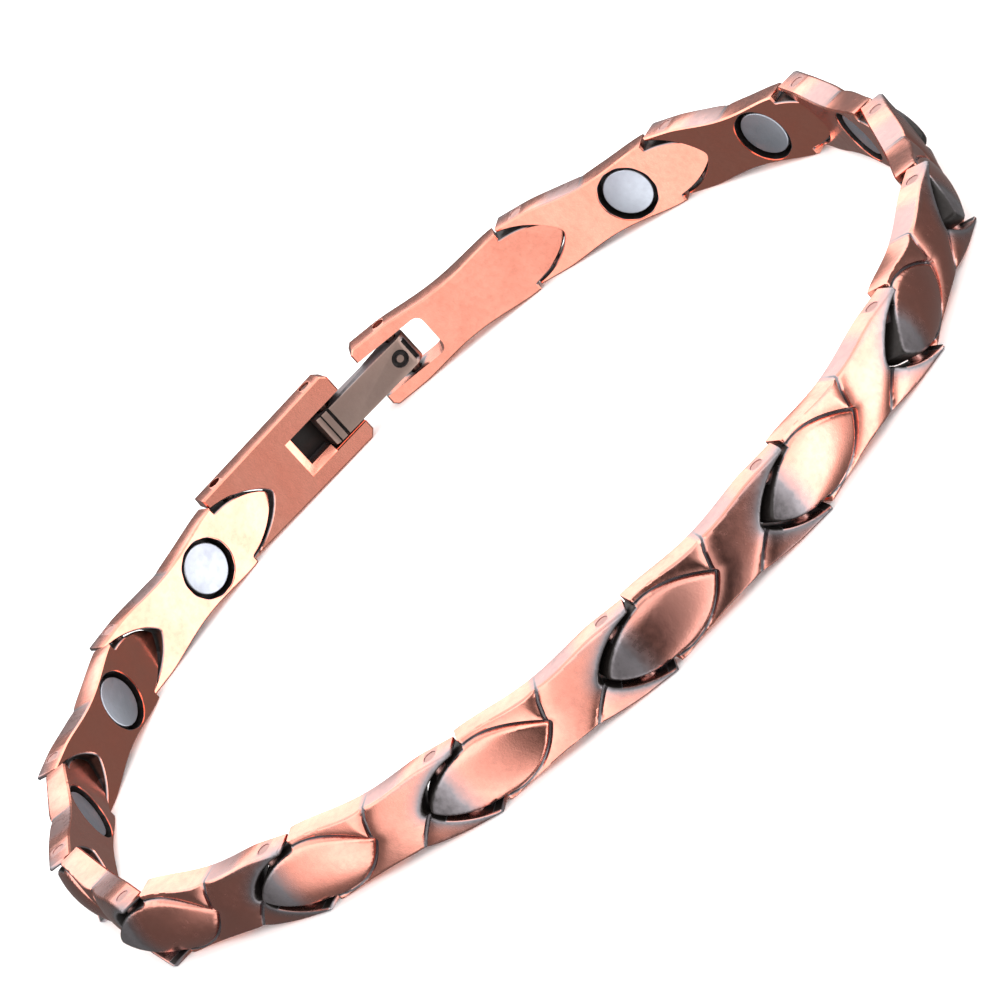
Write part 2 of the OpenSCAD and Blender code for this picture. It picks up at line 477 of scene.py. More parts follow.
def paintTarnishAndShade(piece, value):
    # value gives the darkening, 0 to 1, for points in the piece's own millimetres; much of it is
    # painted shade, in gaps, grooves, pockets and bores
    co = np.zeros(len(piece.data.vertices) * 3)
    piece.data.vertices.foreach_get("co", co)
    layer = piece.data.attributes.new("tarnish", "FLOAT", "POINT")
    layer.data.foreach_set("value", np.clip(value(co.reshape(-1, 3) / mm), 0, 1).astype(np.float32))


def finishEdges(piece, degrees=38):
    piece.data.polygons.foreach_set("use_smooth", [True] * len(piece.data.polygons))
    piece.data.set_sharp_from_angle(angle=math.radians(degrees))


# Finishes


# How wear and the painted shade show, the same in every finish: each pair is where a blend starts
# and ends
wearAndShade = {
    "patches": (0.35, 0.7),
    "specks": (0.4, 0.75),
    "greyFilmAndShade": (0.0, 0.55),
    "dark": (0.5, 0.9),
    "dull": (0.5, 1.0),
    "dullMetal": 0.4,
    "leastDarkening": 0.92,
    "speckDarkening": 0.12,
    "patchGloss": 0.06,
    "speckGloss": 0.08,
    "darkGloss": 0.25,
    "grainShare": 0.5,
    "bumpDeep": 0.00004,
}


def mapRange(tree, value, between, levels=(0.0, 1.0)):
    node = tree.nodes.new("ShaderNodeMapRange")
    for key, number in zip(("From Min", "From Max", "To Min", "To Max"), (*between, *levels)):
        node.inputs[key].default_value = number
    tree.links.new(value, node.inputs["Value"])
    return node


def metalMaterial(name, look):
    # copper or nickel with soft patches, specks and patina, and with painted shade on it: a grey
    # film, then near black in the gaps
    material = bpy.data.materials.new(name)
    material.use_nodes = True
    tree = material.node_tree
    shader = tree.nodes["Principled BSDF"]
    join = tree.links.new
    where = tree.nodes.new("ShaderNodeTexCoord").outputs["Object"]

    def attribute(name):
        node = tree.nodes.new("ShaderNodeAttribute")
        node.attribute_name = name
        return node.outputs["Fac"]

    def noise(scale, detail, rough=0.5):
        node = tree.nodes.new("ShaderNodeTexNoise")
        node.inputs["Scale"].default_value = scale
        node.inputs["Detail"].default_value = detail
        node.inputs["Roughness"].default_value = rough
        join(where, node.inputs["Vector"])
        return node.outputs["Fac"]

    def spread(value, between, levels=(0.0, 1.0)):
        return mapRange(tree, value, between, levels).outputs["Result"]

    def maths(operation, a, b):
        node = tree.nodes.new("ShaderNodeMath")
        node.operation = operation
        for socket, value in zip(node.inputs, (a, b)):
            if isinstance(value, (int, float)):
                socket.default_value = value
            else:
                join(value, socket)
        return node.outputs[0]

    def mixColour(factor, a, b):
        node = tree.nodes.new("ShaderNodeMix")
        node.data_type = "RGBA"
        join(factor, node.inputs["Factor"])
        for key, value in (("A", a), ("B", b)):
            socket = [s for s in node.inputs if s.name == key and s.type == "RGBA"][0]
            if isinstance(value, tuple):
                socket.default_value = (*value, 1)
            else:
                join(value, socket)
        return [s for s in node.outputs if s.type == "RGBA"][0]

    patches = spread(noise(look["patchScale"], 3), wearAndShade["patches"])
    specks = spread(noise(look["speckScale"], 4, 0.6), wearAndShade["specks"])
    bright = mixColour(patches, look["bright"], look["warm"])
    aged = mixColour(attribute("patina"), bright, look["patina"])
    worn = mixColour(maths("MULTIPLY", specks, look["speckShare"]), aged, look["brown"])
    # the painted shade from the attribute turns the metal grey, then near black and duller; specks
    # vary it a little
    uneven = maths("ADD", maths("MULTIPLY", specks, wearAndShade["speckDarkening"]), wearAndShade["leastDarkening"])
    dark = maths("MINIMUM", maths("MULTIPLY", attribute("tarnish"), uneven), 1.0)
    greyed = mixColour(spread(dark, wearAndShade["greyFilmAndShade"]), worn, look["greyFilmAndShade"])
    join(mixColour(spread(dark, wearAndShade["dark"]), greyed, look["dark"]), shader.inputs["Base Color"])
    gloss = maths("ADD", maths("MULTIPLY", patches, wearAndShade["patchGloss"]), look["roughness"])
    gloss = maths("ADD", gloss, maths("MULTIPLY", specks, wearAndShade["speckGloss"]))
    gloss = maths("ADD", gloss, maths("MULTIPLY", dark, wearAndShade["darkGloss"]))
    join(gloss, shader.inputs["Roughness"])
    join(spread(dark, wearAndShade["dull"], (1.0, wearAndShade["dullMetal"])), shader.inputs["Metallic"])
    grain = maths("MULTIPLY", noise(look["grainScale"], 2), wearAndShade["grainShare"])
    bump = tree.nodes.new("ShaderNodeBump")
    bump.inputs["Strength"].default_value = look["bump"]
    bump.inputs["Distance"].default_value = wearAndShade["bumpDeep"]
    join(maths("ADD", noise(look["castScale"], 5), grain), bump.inputs["Height"])
    join(bump.outputs["Normal"], shader.inputs["Normal"])
    return material


copperLook = {
    "bright": (0.94, 0.37, 0.27),
    "warm": (0.88, 0.31, 0.22),
    "brown": (0.5, 0.18, 0.13),
    "patina": (0.1, 0.052, 0.045),
    # grey, then near black, for the painted shade
    "greyFilmAndShade": (0.27, 0.245, 0.26),
    "dark": (0.012, 0.009, 0.008),
    "speckShare": 0.25,
    "patchScale": 420,
    "speckScale": 2600,
    "castScale": 1500,
    "grainScale": 9000,
    "roughness": 0.15,
    "bump": 0.14,
}
leverLook = dict(
    copperLook,
    bright=(0.33, 0.23, 0.19),
    warm=(0.26, 0.18, 0.15),
    brown=(0.16, 0.1, 0.085),
    roughness=0.34,
)
pinLook = dict(
    copperLook,
    bright=(0.7, 0.3, 0.22),
    warm=(0.6, 0.25, 0.18),
    brown=(0.2, 0.1, 0.08),
    roughness=0.3,
)
# near black for pins that sit deep in their bores: painted shade
shadedPinLook = dict(pinLook, bright=(0.1, 0.06, 0.05), warm=(0.07, 0.045, 0.04))
magnetLook = dict(
    copperLook,
    bright=(0.47, 0.5, 0.56),
    warm=(0.4, 0.42, 0.48),
    brown=(0.3, 0.3, 0.34),
    roughness=0.36,
    speckShare=0.2,
    bump=0.2,
)
copper = metalMaterial("castCopper", copperLook)
leverMetal = metalMaterial("dullCopper", leverLook)
pinMetal = metalMaterial("copperPin", pinLook)
shadedPinMetal = metalMaterial("darkPin", shadedPinLook)
magnetMetal = metalMaterial("satinNickel", magnetLook)
print("finishes made")


# One link, repeated round the band

recessTip = band["pitch"] - link["tongueReach"] - link["forkGap"] + link["tipCut"]
armEnd = band["pitch"] + link["armReach"]


def waistUpper(start, end, parts=30):
    places = [start + (end - start) * i / parts for i in range(parts + 1)]
    return [(x, waistedEdge(x)) for x in places]


def recessUpper(centre):
    # from the arm's inner corner back to the recess's tip
    tip = -link["tongueReach"] - link["forkGap"] + link["tipCut"]
    return [(centre + x, z) for x, z in ovalCurve(tip, link["armReach"], link["forkGap"])][::-1]


tongueEdge = ovalCurve(link["tipCut"] - link["tongueReach"], shoulder)
recessEdge = recessUpper(band["pitch"])
linkOutline = mirrored(tongueEdge + waistUpper(shoulder, armEnd) + recessEdge)

# How dark each part of a link is painted: 0 is bright copper, about 0.3 a grey film, and 1 black.
# Most of it is painted shade: the grooves, the gaps, round the recess, the magnet's pocket, the
# bores, the nose and the edges near the joints; the lower arm's lip is painted lighter, as a
# highlight
linkShadeAndWear = {
    "groove": 0.98,
    "grooveFade": 0.25,
    "gap": 0.97,
    "recessShade": 0.88,
    "recessShadeReach": 0.55,
    "outer": 0.1,
    "litLip": 0.22,
    "pocket": 0.95,
    "bore": 0.4,
    "nose": 0.78,
    "noseFrom": -1.3,
    "noseLong": 3.2,
    "side": 0.3,
    "sideFrom": 1.5,
    "sideWide": 0.8,
    "edge": 0.42,
}
wallTop = link["innerFace"] - 0.01

# Where those parts lie, in millimetres; a point this near to a wall or rim counts as on it
zone = {
    "outerBelow": -0.3,
    "greyBelow": -0.05 - link["plateOut"],
    "fadeFrom": 2.0,
    "fadeOver": 1.5,
    "skin": 0.02,
    "wall": 0.06,
    "rim": 0.07,
    "tip": 0.1,
    "recessShadeBefore": 1.4,
    "lipBelow": -0.5,
    "lipPast": 0.8,
    "lipOut": -0.7,
    "pocketSink": 0.03,
    "pocketFoot": -0.35,
    "edge": 0.03,
    "edgeFrom": 6.6,
    "edgeRise": 0.25,
    "edgeFadeFrom": 9.2,
    "edgeFadeOver": 1.6,
    "patinaIn": 0.08,
}


def noseShadeAndSideGrey(flat):
    # painted grey shade on the oval's rounded nose, fading to the right, and the same grey along
    # the ribbons' low sides
    fade = 1 - smooth((flat[:, 0] - linkShadeAndWear["noseFrom"]) / linkShadeAndWear["noseLong"])
    nose = linkShadeAndWear["nose"] * fade * (signedOval(flat) < 0)
    outwards = (np.abs(flat[:, 1]) - linkShadeAndWear["sideFrom"]) / linkShadeAndWear["sideWide"]
    return np.maximum(nose, linkShadeAndWear["side"] * smooth(outwards))


def edgePaintedShade(co):
    # the same grey, painted as shade on the band's edge near the joint, from the waist to the fork
    waist = np.array([waistedEdge(x) for x in co[:, 0]])
    onEdge = np.abs(np.abs(co[:, 2]) - waist) < zone["edge"]
    begun = smooth((co[:, 0] - zone["edgeFrom"]) / zone["edgeRise"])
    gone = smooth((co[:, 0] - zone["edgeFadeFrom"]) / zone["edgeFadeOver"])
    return np.where(onEdge, linkShadeAndWear["edge"] * begun * (1 - gone), 0.0)


def linkTarnishAndShade(co):
    x, y, z = co.T
    flat = co[:, [0, 2]]
    outer = y < zone["outerBelow"]
    # painted shade in the grooves, lighter to the right
    _, cut = linkRelief(flat)
    fade = 1 - linkShadeAndWear["grooveFade"] * smooth((x - zone["fadeFrom"]) / zone["fadeOver"])
    value = np.where(outer, cut * linkShadeAndWear["groove"] * fade, 0.0)
    greyFilmAndShade = noseShadeAndSideGrey(flat) * (y < zone["greyBelow"])
    value = np.maximum(np.maximum(value, greyFilmAndShade), edgePaintedShade(co))

    # the walls of the gaps between links, and the rim beside them, painted near black as their
    # shade
    recessGap = edgeGap(flat, recessEdge)
    walls = np.minimum(edgeGap(flat, tongueEdge), recessGap)
    atEnds = (x < shoulder) | (x > recessTip - zone["tip"])
    nearWall = (walls < zone["wall"]) & atEnds & (y < wallTop)
    pastTips = (x < shoulder - zone["tip"]) | (x > recessTip - 2 * zone["tip"])
    rim = (walls < zone["rim"]) & pastTips & outer
    value = np.where(nearWall | rim, linkShadeAndWear["gap"], value)
    # painted shade spreading round the fork's recess on the outer face, fading away from it, and a
    # faint even grey elsewhere on the outer face
    recessShade = linkShadeAndWear["recessShade"] * np.exp(-recessGap / linkShadeAndWear["recessShadeReach"])
    recessShade *= x > recessTip - zone["recessShadeBefore"]
    value = np.where(outer, np.maximum(value, np.maximum(recessShade, linkShadeAndWear["outer"])), value)

    # painted highlight: the lower arm's lip looks up at the light, so it is painted much lighter
    # than the gap's painted shade
    litLip = (z < zone["lipBelow"]) & (x > recessTip + zone["lipPast"]) & (y < zone["lipOut"])
    value = np.where(litLip & (recessGap < zone["rim"]), linkShadeAndWear["litLip"], value)

    # painted shade in the magnet's pocket
    away = np.hypot(x - link["pocketAt"], z)
    inPocket = (y < link["innerFace"] - zone["pocketSink"]) & (y > zone["pocketFoot"])
    inPocket &= away < link["pocketRadius"] + zone["skin"]
    value = np.where(inPocket, linkShadeAndWear["pocket"], value)
    # painted shade in the pin bores
    for centre in (0.0, band["pitch"]):
        inBore = np.hypot(x - centre, y) < link["boreRadius"] + zone["skin"]
        value = np.where(inBore, linkShadeAndWear["bore"], value)
    return value


linkPiece = makePlate("linkPattern", linkOutline, linkRelief, linkFeatures())
pocketBottom = link["innerFace"] - link["pocketDeep"]
rimBottom = link["innerFace"] - link["pocketRimDeep"]
rimRadius = link["pocketRadius"] + link["pocketRim"]
cutAway(
    linkPiece,
    [
        cylinderAlongZ(0, link["boreRadius"], through),
        cylinderAlongZ(band["pitch"], link["boreRadius"], through),
        cylinderAlongY(link["pocketAt"], link["pocketRadius"], pocketBottom, through),
        cylinderAlongY(link["pocketAt"], rimRadius, rimBottom, through),
    ],
)
paintTarnishAndShade(linkPiece, linkTarnishAndShade)
finishEdges(linkPiece)
print("link pattern made:", len(linkPiece.data.polygons), "faces")

magnet = {
    "radius": 1.62,
    "thick": 0.9,
    "sink": 0.22,
    "bevel": 0.1,
    "rimDeep": 0.15,
    "rimShade": 0.55,
}
magnetTop = link["innerFace"] - magnet["sink"]
magnetFoot = magnetTop - magnet["thick"]
disc = cylinderAlongY(link["pocketAt"], magnet["radius"], magnetFoot, magnetTop, 64)
roundEdges(disc, capEdges(disc), magnet["bevel"], 3)
magnetPiece = objectFrom(disc, "magnetPattern")


# painted shade on the magnet's rim and lower side, where it sits in the pocket
def magnetPaintedShade(co):
    away = np.hypot(co[:, 0] - link["pocketAt"], co[:, 2])
    onRim = away > magnet["radius"] - zone["skin"]
    onRim |= co[:, 1] < magnetTop - magnet["rimDeep"]
    return np.where(onRim, magnet["rimShade"], 0.0)


paintTarnishAndShade(magnetPiece, magnetPaintedShade)
finishEdges(magnetPiece)


def hingeRowTree():
    # puts one piece at each point, turned by the point's heading, and gives it its finish
    tree = bpy.data.node_groups.new("pieceAtEachHinge", "GeometryNodeTree")
    face = tree.interface
    face.new_socket("Geometry", in_out="INPUT", socket_type="NodeSocketGeometry")
    face.new_socket("Piece", in_out="INPUT", socket_type="NodeSocketObject")
    face.new_socket("Finish", in_out="INPUT", socket_type="NodeSocketMaterial")
    face.new_socket("Geometry", in_out="OUTPUT", socket_type="NodeSocketGeometry")
    given = tree.nodes.new("NodeGroupInput")
    out = tree.nodes.new("NodeGroupOutput")
    heading = tree.nodes.new("GeometryNodeInputNamedAttribute")
    heading.data_type = "FLOAT"
    heading.inputs["Name"].default_value = "heading"
    turnBy = tree.nodes.new("ShaderNodeCombineXYZ")
    thing = tree.nodes.new("GeometryNodeObjectInfo")
    place = tree.nodes.new("GeometryNodeInstanceOnPoints")
    real = tree.nodes.new("GeometryNodeRealizeInstances")
    paint = tree.nodes.new("GeometryNodeSetMaterial")
    join = tree.links.new
    join(heading.outputs["Attribute"], turnBy.inputs["Z"])
    join(given.outputs["Piece"], thing.inputs["Object"])
    join(given.outputs["Geometry"], place.inputs["Points"])
    join(thing.outputs["Geometry"], place.inputs["Instance"])
    join(turnBy.outputs[0], place.inputs["Rotation"])
    join(place.outputs["Instances"], real.inputs["Geometry"])
    join(real.outputs["Geometry"], paint.inputs["Geometry"])
    join(given.outputs["Finish"], paint.inputs["Material"])
    join(paint.outputs["Geometry"], out.inputs["Geometry"])
    return tree


rowTree = hingeRowTree()


def repeatAtHinges(name, pattern, finish, places, angles, height):
    mesh = bpy.data.meshes.new(name)
    mesh.from_pydata([(x * mm, y * mm, height * mm) for x, y in places], [], [])
    turned = mesh.attributes.new("heading", "FLOAT", "POINT")
    turned.data.foreach_set("value", [math.radians(a) for a in angles])
    row = newObject(name, mesh)
    nodes = row.modifiers.new("row", "NODES")
    nodes.node_group = rowTree
    sockets = {s.name: s.identifier for s in rowTree.interface.items_tree if s.in_out == "INPUT"}
    nodes[sockets["Piece"]] = pattern
    nodes[sockets["Finish"]] = finish
    row.update_tag()
    bpy.context.view_layer.update()
    graph = bpy.context.evaluated_depsgraph_get()
    plain = bpy.data.meshes.new_from_object(row.evaluated_get(graph))
    row.modifiers.clear()
    row.data = plain
    plain.name = name
    return row


linkCount = len(headings)
linkNodes = [f"link_{k}" for k in range(1, linkCount + 1)]
magnetNodes = [f"magnet_{k}" for k in range(1, linkCount + 1)]
pinNodes = [f"hinge_pin_{k}" for k in range(1, linkCount + 2)]


def paintPatina(row, pattern, outerFaces):
    # brown patina on the outer faces of some links, as in the photo; the band's edges stay bright
    local = np.zeros(len(pattern.data.vertices) * 3)
    pattern.data.vertices.foreach_get("co", local)
    local = local.reshape(-1, 3) / mm
    waist = np.array([waistedEdge(x) for x in local[:, 0]])
    outer = (local[:, 1] < -link["plateOut"]) & (np.abs(local[:, 2]) < waist - zone["patinaIn"])
    values = [outer * outerFaces.get(k, 0.0) for k in range(1, linkCount + 1)]
    layer = row.data.attributes.new("patina", "FLOAT", "POINT")
    layer.data.foreach_set("value", np.concatenate(values).astype(np.float32))


starts = hinges[:linkCount]
linkRow = repeatAtHinges("bandLinks", linkPiece, copper, starts, headings, midHeight)
paintPatina(linkRow, linkPiece, {4: 0.3, 5: 0.35, 8: 0.5, 10: 0.3, 11: 0.3, 13: 0.2})
magnetRow = repeatAtHinges("bandMagnets", magnetPiece, magnetMetal, starts, headings, midHeight)

# Pins with nearly flush ends; the left end link's two sit deeper and keep their solids' shape
pin = {"radius": 0.4, "length": 4.72, "segments": 24, "tarnish": 0.3}
rod = cylinderAlongZ(0, pin["radius"], pin["length"] / 2, pin["segments"])
pinPiece = objectFrom(rod, "pinPattern")
paintTarnishAndShade(pinPiece, lambda co: np.full(len(co), pin["tarnish"]))
finishEdges(pinPiece)
pinHeadings = headings[1:] + [band["rightHeading"]]
pinRow = repeatAtHinges("bandPins", pinPiece, pinMetal, hinges[1:], pinHeadings, midHeight)
for piece in (linkPiece, magnetPiece, pinPiece):
    bpy.data.objects.remove(piece)
print("links repeated:", len(linkRow.data.polygons), "faces")


# The two plain ends of the band

ends = {
    "leftLength": 9.6,
    "rightLength": 13.6,
    "slotLength": 4.9,
    "pocketWide": 2.8,
    "pocketDeep": 1.5,
    "slotWide": 3.0,
    "slotCorner": 0.55,
    "rightCorner": 0.3,
    "leftCorner": 0.4,
    "leftCrown": 8,
    "armTaper": 0.15,
    "rightWall": 0.05,
    "rightWallHalf": 0.8,
    "catchIn": 1.35,
    "leverIn": 2.5,
    "grooveShade": 0.8,
    "wallShade": 0.9,
    "slotShade": 0.95,
    "pocketTarnish": 1.0,
}


def placePiece(piece, heading, place, height, finish):
    lift = Matrix.Translation((place[0] * mm, place[1] * mm, height * mm))
    piece.data.transform(lift @ Matrix.Rotation(math.radians(heading), 4, "Z"))
    piece.data.materials.clear()
    piece.data.materials.append(finish)


rightUpper = tongueEdge + waistUpper(shoulder, ends["rightLength"] - ends["rightCorner"])
rightUpper += [(ends["rightLength"], midHeight - ends["rightCorner"])]
slotStart = ends["rightLength"] - ends["slotLength"]
slotHalf = ends["slotWide"] / 2


def rightRelief(points):
    return linkRelief(points, grooves=False)


# painted shade in the oval's groove, and near black painted shade on the tongue's walls and in the
# slot
def rightPaintedShade(co):
    x, y, z = co.T
    flat = co[:, [0, 2]]
    _, cut = rightRelief(flat)
    value = np.where(y < zone["outerBelow"], cut * ends["grooveShade"], 0.0)
    nearWall = (edgeGap(flat, tongueEdge) < ends["rightWall"]) & (x < shoulder)
    nearWall &= np.abs(y) < ends["rightWallHalf"]
    value = np.where(nearWall, ends["wallShade"], value)
    inSlot = (x > slotStart - zone["skin"]) & (np.abs(z) < slotHalf + zone["skin"])
    return np.where(inSlot & (np.abs(y) < wallTop), ends["slotShade"], value)


slotFar = ends["rightLength"] + through
slot = block((slotStart, -through, -slotHalf), (slotFar, through, slotHalf), ends["slotCorner"])
leverBore = cylinderAlongZ(ends["rightLength"] - ends["leverIn"], link["boreRadius"], through)
rightEnd = makePlate("rightEnd", mirrored(rightUpper), rightRelief, linkFeatures())
cutAway(rightEnd, [slot, cylinderAlongZ(0, link["boreRadius"], through), leverBore])
paintTarnishAndShade(rightEnd, rightPaintedShade)
finishEdges(rightEnd)
placePiece(rightEnd, band["rightHeading"], hinges[-1], midHeight, copper)


def leftOutline():
    # straight sides, corners cut at the far end, and the fork's recess at the hinge
    half, corner = leftMidHeight, ends["leftCorner"]
    armTop, far = half - ends["armTaper"], -ends["leftLength"]
    recess = [(x, z + recessShift) for x, z in mirrored(recessUpper(0)[::-1])]
    middle = len(recess) // 2
    return (
        [(far, -half + corner), (far + corner, -half), (link["armReach"], -armTop)]
        + recess[:middle][::-1]
        + recess[middle:][::-1]
        + [(link["armReach"], armTop), (far + corner, half), (far, half - corner)]
    )


# The left end is wider, so the band's middle and the pocket lie below its own middle.
# Past the hook the pocket has a sloped, polished ledge along its end and its lower side.
recessShift = midHeight - leftMidHeight
pocketShift = recessShift * 2 / 3
pocketHalf = ends["pocketWide"] / 2
pocketEnd = ends["slotLength"] - ends["leftLength"]
pocketFloor = link["innerFace"] - ends["pocketDeep"]
ledge = {"from": -6.95, "wide": 0.5, "floor": link["innerFace"] - 0.27, "step": 0.03, "rim": 0.06}
ledgeStart = ledge["from"] - 0.4


def leftRelief(points):
    crown = crownDrop(points[:, 1], ends["leftCrown"])
    return link["plateOut"] + link["ribbonRise"] - crown, np.zeros(len(points))


# painted near black as shade: the fork recess's walls and the pocket's deep part under the hook
def leftPaintedShade(co):
    x, y, z = co.T
    shifted = co[:, [0, 2]] - np.array([0, recessShift])
    nearWall = (edgeGap(shifted, recessUpper(0)) < zone["wall"]) & (y < wallTop)
    value = np.where(nearWall, ends["wallShade"], 0.0)
    inPocket = (y < ledge["floor"] - zone["skin"]) & (y > pocketFloor - zone["skin"])
    inPocket &= x < pocketEnd - ledge["wide"] / 2
    inPocket &= np.abs(z - pocketShift) < pocketHalf + zone["skin"]
    return np.where(inPocket, ends["pocketTarnish"], value)


def pocketUnderHook(inset, floor):
    return block(
        (-ends["leftLength"] - through, floor, pocketShift - pocketHalf + inset),
        (ledge["from"], through, pocketShift + pocketHalf - inset),
    )


def pocketPastHook():
    inset = ledge["wide"] + ledge["step"]
    return block(
        (ledgeStart, pocketFloor, pocketShift - pocketHalf + inset),
        (pocketEnd - inset, through, pocketShift + pocketHalf - ledge["step"]),
    )


def pocketLedge():
    # the pocket's upper part past the hook: an upright rim above the ledge's slope
    low, high = pocketShift - pocketHalf, pocketShift + pocketHalf
    rimFoot = link["innerFace"] - ledge["rim"]
    work = bmesh.new()
    levels = []
    for y, inset in ((ledge["floor"], ledge["wide"]), (rimFoot, 0.0), (through, 0.0)):
        end = pocketEnd - inset
        corners = ((ledgeStart, low + inset), (end, low + inset), (end, high), (ledgeStart, high))
        levels.append([work.verts.new((x * mm, y * mm, z * mm)) for x, z in corners])
    work.faces.new(levels[0])
    work.faces.new(levels[-1])
    for lower, upper in zip(levels, levels[1:]):
        for i in range(4):
            j = (i + 1) % 4
            work.faces.new((lower[i], lower[j], upper[j], upper[i]))
    bmesh.ops.recalc_face_normals(work, faces=work.faces)
    return work


leftEnd = makePlate("leftEnd", leftOutline(), leftRelief)
cutAway(
    leftEnd,
    [
        pocketLedge(),
        pocketPastHook(),
        pocketUnderHook(0.0, ledge["floor"]),
        pocketUnderHook(ledge["step"], pocketFloor),
        cylinderAlongZ(0, link["boreRadius"], through),
        cylinderAlongZ(ends["catchIn"] - ends["leftLength"], link["boreRadius"], through),
    ],
)
paintTarnishAndShade(leftEnd, leftPaintedShade)
finishEdges(leftEnd)
placePiece(leftEnd, band["leftHeading"], hinges[0], leftMidHeight, copper)
print("band ends made")


# The lever, with its knuckle on the right end's pin and its hook round the left end's pin

lever = {
    "width": 2.2,
    "knuckle": 0.85,
    "neck": 2.6,
    "hookOut": -0.4,
    "mouth": 0.44,
    "past": 1.1,
    "toe": 0.2,
    "heel": 0.4,
    "heelCut": 0.12,
    "bevel": 0.09,
    "cutDepths": (0.45, 0.78),
    "knuckleCuts": (-0.52, 1.15, 0.8),
    "notchNear": 0.13,
    "lineAt": 0.6,
    "lineNear": 0.07,
    "flankDarkening": 0.5,
    "faceTarnish": 0.05,
    "notchShade": 0.95,
}
leverPin = walk(hinges[-1], band["rightHeading"], ends["rightLength"] - ends["leverIn"])
catchPin = walk(hinges[0], band["leftHeading"] + 180, ends["leftLength"] - ends["catchIn"])
leverSpan = math.dist(leverPin, catchPin)
leverHeading = math.degrees(math.atan2(catchPin[1] - leverPin[1], catchPin[0] - leverPin[0]))


def arc(centre, radius, degrees):
    turns = [math.radians(a) for a in degrees]
    return [(centre + radius * math.cos(t), radius * math.sin(t)) for t in turns]


def leverProfile():
    # the lever from its side: round the knuckle, along the bar, and round the hook's mouth
    top, out, mouth, toe = lever["knuckle"], lever["hookOut"], lever["mouth"], lever["toe"]
    end, cut = leverSpan + lever["past"], lever["heelCut"]
    heel = [(end, top - lever["heel"]), (end - cut, top - cut), (end - lever["heel"], top)]
    return (
        arc(0, top, range(90, 271, 15))
        + [(lever["neck"], out), (leverSpan - mouth, out)]
        + arc(leverSpan, mouth, range(180, -1, -15))
        + [(leverSpan + mouth, out), (end - toe, out), (end, out + toe)]
        + heel
    )


def leverShape():
    # the profile drawn out to the lever's width, with its long edges rounded
    half = lever["width"] / 2
    work = bmesh.new()
    low = [work.verts.new((x * mm, y * mm, -half * mm)) for x, y in leverProfile()]
    high = [work.verts.new((x * mm, y * mm, half * mm)) for x, y in leverProfile()]
    work.faces.new(low)
    work.faces.new(high)
    for i in range(len(low)):
        j = (i + 1) % len(low)
        work.faces.new((low[i], low[j], high[j], high[i]))
    bmesh.ops.recalc_face_normals(work, faces=work.faces)
    roundEdges(work, capEdges(work), lever["bevel"], 2)
    return work


# Cuts in the lever's inner face: a ring, a notch behind it, and a notch and a line at the hook
leverRing = {"at": 0.55, "outer": 0.58, "inner": 0.24, "floor": 0.62}
leverCuts = (
    {"from": -0.5, "to": -0.2, "floor": 0.5, "half": 0.78},
    {"from": leverSpan - 0.1, "to": leverSpan + 0.12, "floor": 0.6, "half": through},
    {"from": leverSpan + 0.55, "to": leverSpan + 0.66, "floor": 0.72, "half": through},
)
leverWorks = [
    cylinderAlongZ(0, link["boreRadius"], through),
    ringAlongY(*leverRing.values(), through),
]
for cut in leverCuts:
    low, high = (cut["from"], cut["floor"], -cut["half"]), (cut["to"], through, cut["half"])
    leverWorks.append(block(low, high))
leverBar = objectFrom(leverShape(), "leverBar")
cutAway(leverBar, leverWorks)


# the cuts in the inner face painted near black as their shade; the flanks painted darker
def leverTarnishAndShade(co):
    x, y, z = co.T
    low, high = lever["cutDepths"]
    behind, past, half = lever["knuckleCuts"]
    inCut = (x > behind) & (x < past) & (np.abs(z) < half)
    inCut |= np.abs(x - leverSpan) < lever["notchNear"]
    inCut |= np.abs(x - leverSpan - lever["lineAt"]) < lever["lineNear"]
    inCut &= (y > low) & (y < high)
    flank = np.abs(z) > lever["width"] / 2 - zone["skin"]
    value = np.where(flank, lever["flankDarkening"], lever["faceTarnish"])
    return np.where(inCut, lever["notchShade"], value)


paintTarnishAndShade(leverBar, leverTarnishAndShade)
finishEdges(leverBar)
placePiece(leverBar, leverHeading, leverPin, midHeight, leverMetal)
print("lever made")


# What each piece stands for

for piece, nodes, slotName in (
    (linkRow, linkNodes, "copper"),
    (magnetRow, magnetNodes, "magnet"),
    (pinRow, pinNodes[1:], "pin"),
    (rightEnd, ["clasp_end_right"], "copper"),
    (leftEnd, ["clasp_end_left"], "copper"),
):
    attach(piece, "band")
    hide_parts(*nodes)
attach(leverBar, "clasp_lever")
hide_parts("clasp_lever")
# the pins deep in the left end and in the clasp are painted near black, as their shade
for name in (pinNodes[0], "clasp_hinge_pin", "clasp_catch_pin"):
    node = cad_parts[name]
    node.data.materials.clear()
    node.data.materials.append(shadedPinMetal)


# Floor, light and camera

studio = {
    "floorSize": 6.0,
    "floorDrop": 0.00003,
    "paper": 0.92,
    "paperRoughness": 0.9,
    "topPower": 2.0,
    "topSize": 0.9,
    "topPlace": (0.0, 0.15, 0.75),
    "cardTop": 3.6,
    # degrees to the right of the camera, and how bright that side is
    "cards": (
        (-180, 0.25),
        (-150, 0.15),
        (-122, 0.2),
        (-100, 0.2),
        (-82, 0.25),
        (-66, 1.3),
        (-52, 2.4),
        (-36, 2.1),
        (-24, 1.45),
        (-14, 1.2),
        (-6, 0.3),
        (4, 0.05),
        (14, 0.15),
        (21, 0.65),
        (27, 0.8),
        (34, 1.4),
        (42, 3.1),
        (62, 3.5),
        (78, 0.8),
        (96, 0.2),
        (122, 0.2),
        (150, 0.2),
        (180, 0.25),
    ),
    "sky": 2.6,
    "skyRise": (0.26, 0.44),
    "zenith": 1.0,
    "zenithRise": (0.7, 0.92),
}

